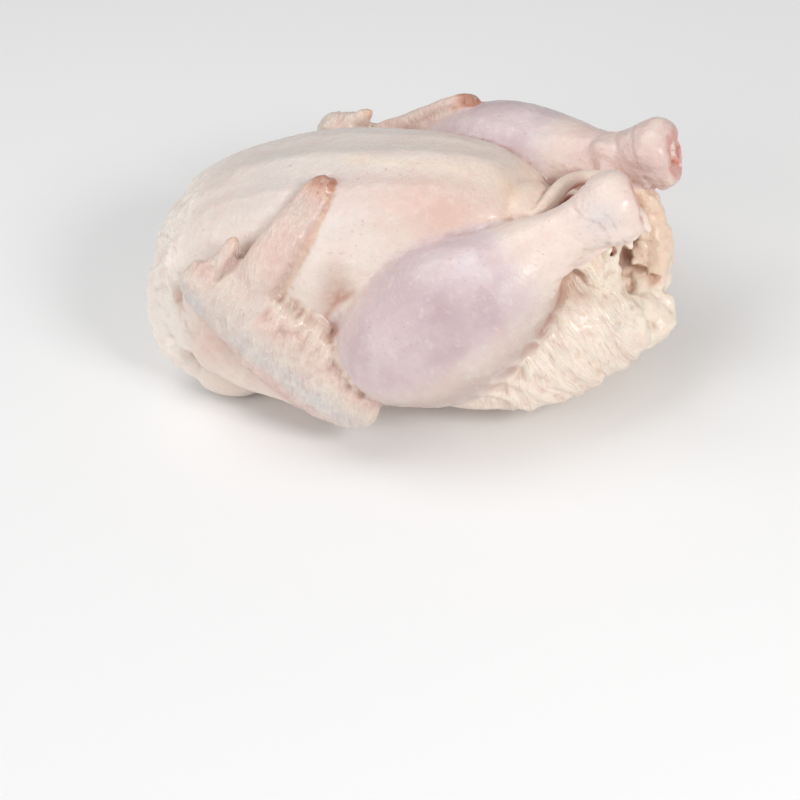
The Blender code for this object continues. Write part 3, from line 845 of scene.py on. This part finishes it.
def thinSkin(skin):
    makeActive(skin)
    skin.data.calc_loop_triangles()
    total = len(skin.data.loop_triangles)
    if total > skinLook["mostTriangles"]:
        fewer = skin.modifiers.new("fewer", "DECIMATE")
        fewer.ratio = skinLook["mostTriangles"] / total
        bpy.ops.object.modifier_apply(modifier="fewer")
    bpy.ops.object.shade_smooth()
    print("skin thinned from", total, "triangles")


tints = {
    "cream": (236, 220, 208),
    "breast": (232, 219, 210),
    "breastShade": (224, 214, 208),
    "pinkPatch": (228, 186, 174),
    "flush": (218, 166, 152),
    "fatAndRidgeHighlight": (240, 224, 200),
    "lilac": (209, 190, 193),
    "lilacDeep": (183, 153, 162),
    "drumPaintedHighlight": (240, 228, 231),
    "drumShade": (184, 165, 158),
    "thigh": (250, 234, 218),
    "thighFold": (216, 180, 158),
    "shank": (240, 220, 210),
    "blueAndSheen": (200, 204, 208),
    "wing": (218, 203, 193),
    "wingGrey": (209, 205, 206),
    "wingPink": (228, 187, 177),
    "tip": (168, 92, 62),
    "edge": (238, 210, 186),
    "orange": (214, 154, 116),
    "flap": (252, 237, 218),
    "peach": (238, 204, 178),
    "tail": (251, 236, 217),
    "neck": (249, 240, 231),
    "meat": (206, 120, 106),
    "deep": (112, 44, 38),
    "bloody": (166, 74, 62),
    "crease": (176, 122, 98),
}


def linear(rgb):
    c = np.array(rgb, float) / 255
    return np.where(c <= 0.04045, c / 12.92, ((c + 0.055) / 1.055) ** 2.4)


# a soft oval patch, half sizes in mm
def spot(points, centre, size):
    rel = (points - np.array(centre, float)) / np.array(size, float)
    return bell(np.linalg.norm(rel, axis=1), 1)


# lays a colour over others where the share is not 0
def over(colour, rgb, share):
    share = np.clip(share, 0, 1)[:, None]
    return colour * (1 - share) + linear(rgb) * share


# how far each point lies below, or above, its surroundings, in mm
def hollows(mesh, points, rounds):
    around = blurred(points, neighbourMean(mesh), rounds, 0.8)
    return np.einsum("ij,ij->i", points - around, readNormals(mesh))


class SkinPaint:
    def __init__(self, total):
        self.colour = np.tile(linear(tints["cream"]), (total, 1))

    def lay(self, name, amount):
        self.colour = over(self.colour, tints[name], amount)


def paintBreast(lay, points, at, cloud, small):
    x, y, z = points.T
    breast = at["breast"]
    lay("breast", breast * 0.9)
    # painted shade: the top of the breast is greyer
    lay("breastShade", breast * fade(z, 92, 106) * (0.7 + 0.3 * cloud))
    lay("flush", 0.88 * spot(points, (22, -23, 101), (26, 13, 12)) * (0.82 + 0.35 * cloud))
    lay("pinkPatch", 0.38 * spot(points, (-8, -22, 104), (22, 10, 10)) * (0.7 + 0.5 * cloud))
    streak = bell(y + 5.5 + 2.4 * wavy(points, 16, 71), 3.0) * band(x, -34, -8, 54, 66)
    lay("fatAndRidgeHighlight", breast * fade(z, 88, 98) * 0.8 * streak * (0.6 + 0.6 * small))
    lay("peach", breast * fade(x, 44, 60) * fade(small, -0.2, 0.5) * 0.5)
    lay("peach", breast * fade(x, -20, 45) * (0.22 + 0.1 * cloud))


def paintLeg(lay, side, points, normals, at, cloud, small):
    away = sides[side]
    z = points[:, 2]
    leg = at[f"leg_{side}"]
    share = at[f"legShare_{side}"]
    kneePoint = np.array(knee[side], float)
    calf = leg * fade(share, 0.66, 0.5) * (1 - spot(points, (-12, 52 * away, 76), (10, 12, 12)))
    lay("lilac", calf * 0.9)
    # painted highlight: a paler patch high on the drumstick
    lay("drumPaintedHighlight", calf * spot(points, kneePoint + (47, -13 * away, 50), (24, 32, 18)) * 0.85)
    deep = spot(points, kneePoint + (32, 0, 32), (22, 28, 15))
    lay("lilacDeep", calf * deep * (0.75 + 0.35 * cloud))
    lay("lilacDeep", calf * 0.35 * fade(cloud, 0.1, 0.5))
    under = z - np.interp(share, (0, 1), (knee[side][2], ankle[side][2]))
    lay("thigh", calf * fade(under, 2, -15) * (0.70 + 0.25 * small))
    # painted shade: the drumstick darkens towards its underside
    lay("drumShade", calf * fade(under, 0, -20) * (0.80 + 0.2 * cloud))
    bare = (1 - leg) * (1 - at["wings"])
    # painted shade in the gap where the flank meets the knee and the forearm
    lay("crease", bare * 0.64 * spot(points, (-15, 56 * away, 72), (8, 14, 15)))
    lay("crease", bare * 0.62 * spot(points, (-14, 62 * away, 55), (8, 9, 12)))
    shank = leg * fade(share, 0.56, 0.72)
    lay("shank", shank)
    # painted shade: on the far leg the shank is darker and pinker
    if side == "left":
        lay("pinkPatch", 0.22 * shank)
        lay("lilacDeep", 0.26 * shank)
    knuckle = np.array(legPoint(side, 0.91))
    # the knuckle is bluish-grey, partly its own colour and partly a painted sheen
    lay("blueAndSheen", 0.60 * leg * spot(points, knuckle + (0, 8 * away, 5), (9, 12, 7)))
    lay("blueAndSheen", 0.35 * leg * spot(points, knuckle + (4, 8 * away, -9), (8, 12, 4)))
    lay("pinkPatch", 0.22 * leg * fade(share, 0.93, 0.98))
    cutFace = normals @ (np.array(legPoint(side, 1.0)) - np.array(legPoint(side, 0.96))) / 5
    lay("meat", leg * fade(share, 0.97, 1.0) * fade(cutFace, 0.75, 0.95) * 0.7)
    thigh = at[f"thigh_{side}"]
    lay("thigh", thigh * 0.92)
    lay("pinkPatch", thigh * 0.20 * fade(small, 0.15, 0.5))


def paintWing(lay, side, points, at, cloud, small):
    away = sides[side]
    fore = at[f"forearm_{side}"]
    u, back = inFrame(points, side, "forearm")
    lay("wing", fore * 0.9)
    lay("wingGrey", fore * fade(back, 2, -6) * (0.55 + 0.4 * cloud))
    lay("wingPink", fore * band(back, 1, 7, 11, 17) * (0.45 + 0.3 * small))
    lay("edge", fore * fade(back, 10, 15) * 0.35)
    lay("crease", fore * fade(back, 5, 11) * fade(small, -0.1, 0.5) * 0.22)
    hand = np.maximum(at[f"hand_{side}"], at[f"thumb_{side}"])
    u, v = inFrame(points, side, "hand")
    lay("wing", hand * 0.8)
    lay("wingPink", hand * fade(u, 2, 26) * (0.44 + 0.33 * cloud))
    gap = at[f"handGap_{side}"]
    rear = at[f"hand_{side}"] * fade(v, 2, 5)
    lay("edge", rear * fade(gap, 0.86, 0.98) * fade(u, 10, 18) * 0.7)
    lay("orange", rear * fade(gap, 0.76, 0.96) * fade(u, 28, 50) * 0.42)
    tipGap = np.linalg.norm(points - np.array(wingTip[side], float), axis=1)
    lay("orange", hand * fade(tipGap + 2.5 * small, 13, 6) * 0.55)
    lay("tip", hand * fade(tipGap + 2.0 * small, 8, 3.5) * 0.9)
    thumbGap = np.linalg.norm(points - np.array(thumbTip[side], float), axis=1)
    lay("orange", at[f"thumb_{side}"] * fade(thumbGap, 7, 3) * 0.55)
    lay("wingPink", 0.65 * fore * fade(back, -9, -15))
    lay("wingPink", 0.5 * spot(points, wayPoint(shoulder[side], elbow[side], 0.45), (16, 14, 12)))
    lay("wingPink", 0.75 * spot(points, (-78, away * 60, 48), (9, 12, 14)) * (0.8 + 0.5 * small))


def paintEnds(lay, points, at, cloud, small):
    x, y, z = points.T
    lay("neck", at["neck"] * 0.9)
    lay("pinkPatch", at["neck"] * 0.25 * fade(cloud, 0.0, 0.5))
    lay("flap", at["rim"] * 0.9)
    lay("peach", at["rim"] * fade(y, -4, 12) * 0.7)
    lay("peach", at["rim"] * fade(small, 0, 0.4) * 0.5)
    lay("tail", at["tail"] * 0.9)
    lay("pinkPatch", 0.85 * spot(points, (97, -19, 48), (5, 6, 6)))
    lay("flap", 0.9 * spot(points, (113, -17, 92), (8, 8, 10)))
    lay("peach", 0.5 * spot(points, (73, 2, 99), (14, 18, 5)))
    lay("meat", at["inside"] * 0.9)
    lay("bloody", at["inside"] * fade(small, -0.1, 0.5) * 0.7)
    # the inside is darker red towards its far end, away from the opening
    lay("deep", at["inside"] * fade(x, 84, 50))


def paintSkin(skin):
    mesh = skin.data
    points = readPoints(mesh)
    normals = readNormals(mesh)
    at = places(points, normals)
    flow, folds, _ = skinFlow(points, at)
    folds = folds * calmSeams(mesh, flow, 1)
    cloud = layered(points, 19, 101)
    small = layered(points, 6.5, 102)
    skinPaint = SkinPaint(len(points))
    lay = skinPaint.lay
    paintBreast(lay, points, at, cloud, small)
    for side in sides:
        paintLeg(lay, side, points, normals, at, cloud, small)
        paintWing(lay, side, points, at, cloud, small)
    paintEnds(lay, points, at, cloud, small)
    # painted shade: the creases and hollows are darker and warmer, where fluid also collects; painted
    # highlight: the ridges are paler
    fine = hollows(mesh, points, 5)
    broad = hollows(mesh, points, 40)
    outer = (1 - at["inside"]) * (1 - 0.7 * np.maximum(at["hand_right"], at["hand_left"]))
    wrinkly = np.maximum(at["thigh_right"], at["thigh_left"])
    sunken = 0.46 * fade(-broad, 0.7, 2.6) + 0.22 * fade(-fine, 0.08, 0.5)
    lay("crease", outer * (1 - 0.45 * wrinkly) * sunken)
    # painted shade in the valleys of the thigh folds
    for side in sides:
        lay("thighFold", at[f"thigh_{side}"] * 0.40 * fade(-fine, 0.05, 0.40))
    # painted highlight on the ridges; the rim's fat lumps are pale in their own colour too
    lay("fatAndRidgeHighlight", outer * 0.30 * fade(fine, 0.06, 0.35) * np.maximum(at["rim"], folds))
    one = np.ones(len(points))
    paint(mesh, "skinTint", "FLOAT_COLOR", np.column_stack([np.clip(skinPaint.colour, 0, 1), one]))
    # how pebbled each place is, how wet, how wrinkled
    pebble = 0.30 + 0.5 * at["wings"] + 0.45 * at["neck"] + 0.35 * at["rim"] + 0.35 * at["tail"]
    for side in sides:
        leg = at[f"leg_{side}"]
        share = at[f"legShare_{side}"]
        pebble -= 0.15 * leg * fade(share, 0.7, 0.5)
        pebble += 0.45 * leg * fade(share, 0.72, 0.9)
    wet = np.clip(0.4 + 0.5 * at["inside"] + 0.25 * cloud, 0, 1)
    marks = np.column_stack([np.clip(pebble, 0, 1), wet, np.clip(folds, 0, 1), one])
    paint(mesh, "skinMarks", "FLOAT_COLOR", marks)
    paint(mesh, "skinFlow", "FLOAT_VECTOR", flow)
    print("skin painted")


# a node socket that can be used in plain arithmetic
class Wire:
    def __init__(self, graph, socket):
        self.graph = graph
        self.socket = socket

    def math(self, operation, *others):
        inputs = {0: self, **dict(enumerate(others, 1))}
        return self.graph.add("ShaderNodeMath", {"operation": operation}, inputs)

    def __add__(self, other):
        return self.math("ADD", other)

    __radd__ = __add__

    def __sub__(self, other):
        return self.math("SUBTRACT", other)

    def __rsub__(self, other):
        return self.graph.add("ShaderNodeMath", {"operation": "SUBTRACT"}, {0: other, 1: self})

    def __mul__(self, other):
        return self.math("MULTIPLY", other)

    __rmul__ = __mul__

    def step(self, low, high, fromValue=0.0, toValue=1.0):
        settings = {"interpolation_type": "SMOOTHSTEP"}
        inputs = {0: self, 1: low, 2: high, 3: fromValue, 4: toValue}
        return self.graph.add("ShaderNodeMapRange", settings, inputs)


class Graph:
    def __init__(self, name):
        self.material = bpy.data.materials.new(name)
        self.material.use_nodes = True
        self.tree = self.material.node_tree
        self.shader = self.tree.nodes["Principled BSDF"]

    def plug(self, value, socket):
        if isinstance(value, Wire):
            self.tree.links.new(value.socket, socket)
        else:
            socket.default_value = value

    def add(self, kind, settings=None, inputs=None, output=0):
        node = self.tree.nodes.new(kind)
        for key, value in (settings or {}).items():
            setattr(node, key, value)
        for key, value in (inputs or {}).items():
            self.plug(value, node.inputs[key])
        return Wire(self, node.outputs[output])

    def mix(self, share, a, b, blend="MIX"):
        settings = {"data_type": "RGBA", "blend_type": blend}
        return self.add("ShaderNodeMix", settings, {0: share, 6: a, 7: b}, 2)

    def noise(self, where, scale, detail=3.0, rough=0.55):
        inputs = {"Vector": where, "Scale": scale, "Detail": detail, "Roughness": rough}
        return self.add("ShaderNodeTexNoise", None, inputs)

    def cells(self, where, scale, feature="F1", output=0):
        inputs = {"Vector": where, "Scale": scale}
        return self.add("ShaderNodeTexVoronoi", {"feature": feature}, inputs, output)

    def bump(self, strength, distance, height):
        inputs = {"Strength": strength, "Distance": distance, "Height": height}
        return self.add("ShaderNodeBump", None, inputs)

    def attribute(self, name, output="Color"):
        return self.add("ShaderNodeAttribute", {"attribute_name": name}, None, output)

    def set(self, **values):
        for key, value in values.items():
            self.plug(value, self.shader.inputs[key.replace("_", " ")])


def rgba(rgb):
    return (*[float(c) for c in linear(rgb)], 1.0)


skinShade = {
    # noise, from, to, how much, colour
    "patches": (
        ("blotch", 0.44, 0.75, 0.24, (224, 184, 174)),
        ("blotch", 0.5, 0.22, 0.26, (242, 230, 216)),
        ("mottle", 0.5, 0.78, 0.18, (206, 166, 168)),
        ("mottle", 0.46, 0.25, 0.22, (248, 238, 228)),
    ),
    "wrinkleLine": (250, 238, 224),
    "follicle": (212, 160, 124),
    "roughness": 0.44,
    "ior": 1.42,
    "subsurface": 0.12,
    "radius": (0.0055, 0.0022, 0.0014),
    "coat": 0.30,
    "coatRoughness": 0.16,
    "bump": 0.00055,
}


def skinMaterial():
    look = skinShade
    g = Graph("rawSkin")
    place = g.add("ShaderNodeTexCoord", None, None, "Object")
    tint = g.attribute("skinTint")
    marks = g.attribute("skinMarks")
    lie = g.attribute("skinFlow", "Vector")
    pebbled, wet, wrinkled = [g.add("ShaderNodeSeparateColor", None, {0: marks}, k) for k in range(3)]

    blotch = g.noise(place, 70.0, 4.0, 0.6)
    mottle = g.noise(place, 260.0, 3.0, 0.6)
    grain = g.noise(place, 900.0, 2.0, 0.5)
    # wrinkle lines that follow the skin's own direction
    coarse = g.noise(lie, 0.8, 1.0, 0.4)
    finer = g.noise(lie, 1.7, 1.0, 0.4)
    lines = (1 - (coarse - 0.5).math("ABSOLUTE").step(0.0, 0.10)) * 0.6
    lines = lines + (1 - (finer - 0.5).math("ABSOLUTE").step(0.0, 0.09)) * 0.4
    noises = {"blotch": blotch, "mottle": mottle}
    colour = tint
    for name, low, high, most, rgb in look["patches"]:
        colour = g.mix(noises[name].step(low, high, 0.0, most), colour, rgba(rgb))
    colour = g.mix(lines * wrinkled * 0.30, colour, rgba(look["wrinkleLine"]))
    # follicles: small raised dots with a darker, orange middle
    follicle = g.cells(place, 300.0)
    dots = follicle.step(0.22, 0.06) * g.noise(place, 45.0, 2.0).step(0.45, 0.6)
    colour = g.mix(dots * 0.27, colour, rgba(look["follicle"]))

    crepe = g.cells(place, 620.0, "SMOOTH_F1")
    pebble = g.cells(place, 410.0, "SMOOTH_F1")
    height = grain * 0.35 + crepe * 0.4 - pebble * pebbled * 0.9 + mottle * 0.5 + dots * 0.4
    height = height + lines * wrinkled
    bump = g.bump(0.8, look["bump"], height)
    rough = look["roughness"] + mottle.step(0.3, 0.7, -0.07, 0.09)
    rough = rough - wet * 0.14 + grain.step(0.3, 0.7, -0.04, 0.04)
    g.set(Base_Color=colour, Roughness=rough, Normal=bump)
    g.set(
        Subsurface_Weight=look["subsurface"],
        Subsurface_Radius=look["radius"],
        Subsurface_Scale=1.0,
        Coat_Weight=look["coat"],
        Coat_Roughness=look["coatRoughness"],
        IOR=look["ior"],
    )
    return g.material


boneLook = {
    "voxel": 0.5,
    "softenRounds": 6,
    "grainHeight": 0.45,
    "coreDepth": 0.5,
    "cutFace": (232, 158, 140),
    "rim": (244, 222, 210),
    "core": (176, 84, 72),
    "fleshDark": (176, 78, 66),
    "fleshPale": (240, 206, 192),
    "roughness": 0.34,
    "subsurface": 0.2,
    "radius": (0.003, 0.0012, 0.0008),
    "coat": 0.35,
    "bump": 0.0004,
}


def boneMaterial():
    look = boneLook
    g = Graph("cutBone")
    place = g.add("ShaderNodeTexCoord", None, None, "Object")
    tint = g.attribute("boneTint")
    flesh = g.noise(place, 420.0, 4.0, 0.65)
    pores = g.cells(place, 900.0)
    colour = g.mix(flesh.step(0.45, 0.7, 0.0, 0.55), tint, rgba(look["fleshDark"]))
    colour = g.mix(flesh.step(0.42, 0.25, 0.0, 0.45), colour, rgba(look["fleshPale"]))
    rough = look["roughness"] + flesh.step(0.3, 0.7, -0.06, 0.08)
    bump = g.bump(0.6, look["bump"], flesh * 0.8 + pores * 0.4)
    g.set(Base_Color=colour, Roughness=rough, Normal=bump)
    g.set(
        Subsurface_Weight=look["subsurface"],
        Subsurface_Radius=look["radius"],
        Subsurface_Scale=1.0,
        Coat_Weight=look["coat"],
    )
    return g.material


def buildBone(side, material):
    look = boneLook
    bone = copyNode(f"shank_bone_{side}", f"shankBone_{side}")
    fuse(bone, look["voxel"])
    mesh = bone.data
    points = relaxed(readPoints(mesh), neighbourMean(mesh), look["softenRounds"], 0.5, 0.4)
    end = np.array(legPoint(side, 1.0))
    before = np.array(legPoint(side, 0.97))
    way = (end - before) / np.linalg.norm(end - before)
    depth = (points - end) @ way
    rel = points - end - depth[:, None] * way
    radius = np.linalg.norm(rel, axis=1)
    writePoints(mesh, points)
    normals = readNormals(mesh)
    grain = look["grainHeight"] * layered(points, 3.2, 7)
    lift = fade(depth, -1.5, 0.4) * (grain - look["coreDepth"] * fade(radius, 4.5, 1.5))
    writePoints(mesh, points + normals * lift[:, None])
    colour = np.tile(linear(look["cutFace"]), (len(points), 1))
    colour = over(colour, look["rim"], fade(radius, 5.2, 7.6))
    colour = over(colour, look["core"], fade(radius, 4.2, 1.6) * 0.7)
    paint(mesh, "boneTint", "FLOAT_COLOR", np.column_stack([colour, np.ones(len(points))]))
    mesh.materials.clear()
    mesh.materials.append(material)
    makeActive(bone)
    bpy.ops.object.shade_smooth()
    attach(bone, "root")
    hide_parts(f"shank_bone_{side}")
    print("bone", side, len(mesh.vertices), "points")


stageLook = {
    "floorColour": (0.93, 0.93, 0.93, 1),
    "world": 0.37,
    # place in metres, power in watts, size in metres
    "lights": {
        "key": ((0.95, -0.62, 0.78), 7.6, 0.36),
        "top": ((-0.45, -0.05, 1.2), 5.2, 1.0),
        "fill": ((-0.75, -1.0, 0.65), 4.4, 1.0),
    },
}

cameraLook = {
    "azimuth": 24.0,
    "elevation": 36.0,
    "roll": 11.0,
    "distance": 1.1,
    "pixelsPerMm": 2.174,
    "target": (0.0, 0.0, 55.0),
    "targetPixel": (412.6, 258.3),
}


def addLight(name, place, power, size):
    deselectAll()
    bpy.ops.object.light_add(type="AREA", location=place)
    lamp = bpy.context.object
    lamp.name = name
    lamp.data.shape = "DISK"
    lamp.data.size = size
    lamp.data.energy = power
    aim = Vector((0.0, 0.0, 0.05)) - Vector(place)
    lamp.rotation_euler = aim.to_track_quat("-Z", "Y").to_euler()


def buildStage():
    deselectAll()
    bpy.ops.mesh.primitive_plane_add(size=6, location=(0, 0, 0))
    floor = bpy.context.object
    floor.name = "floor"
    g = Graph("paleFloor")
    place = g.add("ShaderNodeTexCoord", None, None, "Object")
    g.set(Base_Color=stageLook["floorColour"], Roughness=0.6 + g.noise(place, 3.0) * 0.1)
    floor.data.materials.append(g.material)
    for name, light in stageLook["lights"].items():
        addLight(name, *light)
    world = bpy.data.worlds.new("studio")
    world.use_nodes = True
    sky = world.node_tree.nodes["Background"].inputs
    sky["Color"].default_value = (1, 1, 1, 1)
    sky["Strength"].default_value = stageLook["world"]
    bpy.context.scene.world = world
    bpy.context.scene.view_settings.view_transform = "Standard"
    print("stage set")


def buildCamera():
    look = cameraLook
    a = math.radians(look["azimuth"])
    e = math.radians(look["elevation"])
    r = math.radians(look["roll"])
    back = Vector((math.sin(a) * math.cos(e), -math.cos(a) * math.cos(e), math.sin(e)))
    right = Vector((math.cos(a), math.sin(a), 0))
    up = back.cross(right)
    turnedRight = math.cos(r) * right - math.sin(r) * up
    turnedUp = math.sin(r) * right + math.cos(r) * up
    focal = look["pixelsPerMm"] * look["distance"] * 1000
    toTarget = Vector(
        ((look["targetPixel"][0] - 400) / focal, (400 - look["targetPixel"][1]) / focal, -1)
    ).normalized()
    swing = toTarget.rotation_difference(Vector((0, 0, -1)))
    turn = Matrix((turnedRight, turnedUp, back)).transposed() @ swing.to_matrix()
    deselectAll()
    bpy.ops.object.camera_add()
    camera = bpy.context.object
    camera.data.lens = 36 * focal / 800
    camera.data.clip_start = 0.05
    matrix = turn.to_4x4()
    matrix.translation = Vector(toPart(look["target"])) + back * look["distance"]
    camera.matrix_world = matrix
    bpy.context.scene.camera = camera
    print("camera placed")


buildCamera()
buildStage()
skin = buildSkin()
softenSkin(skin)
sculptSkin(skin)
thinSkin(skin)
paintSkin(skin)
skin.data.materials.clear()
skin.data.materials.append(skinMaterial())
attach(skin, "root")
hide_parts("chicken")
cutBone = boneMaterial()
for side in sides:
    buildBone(side, cutBone)
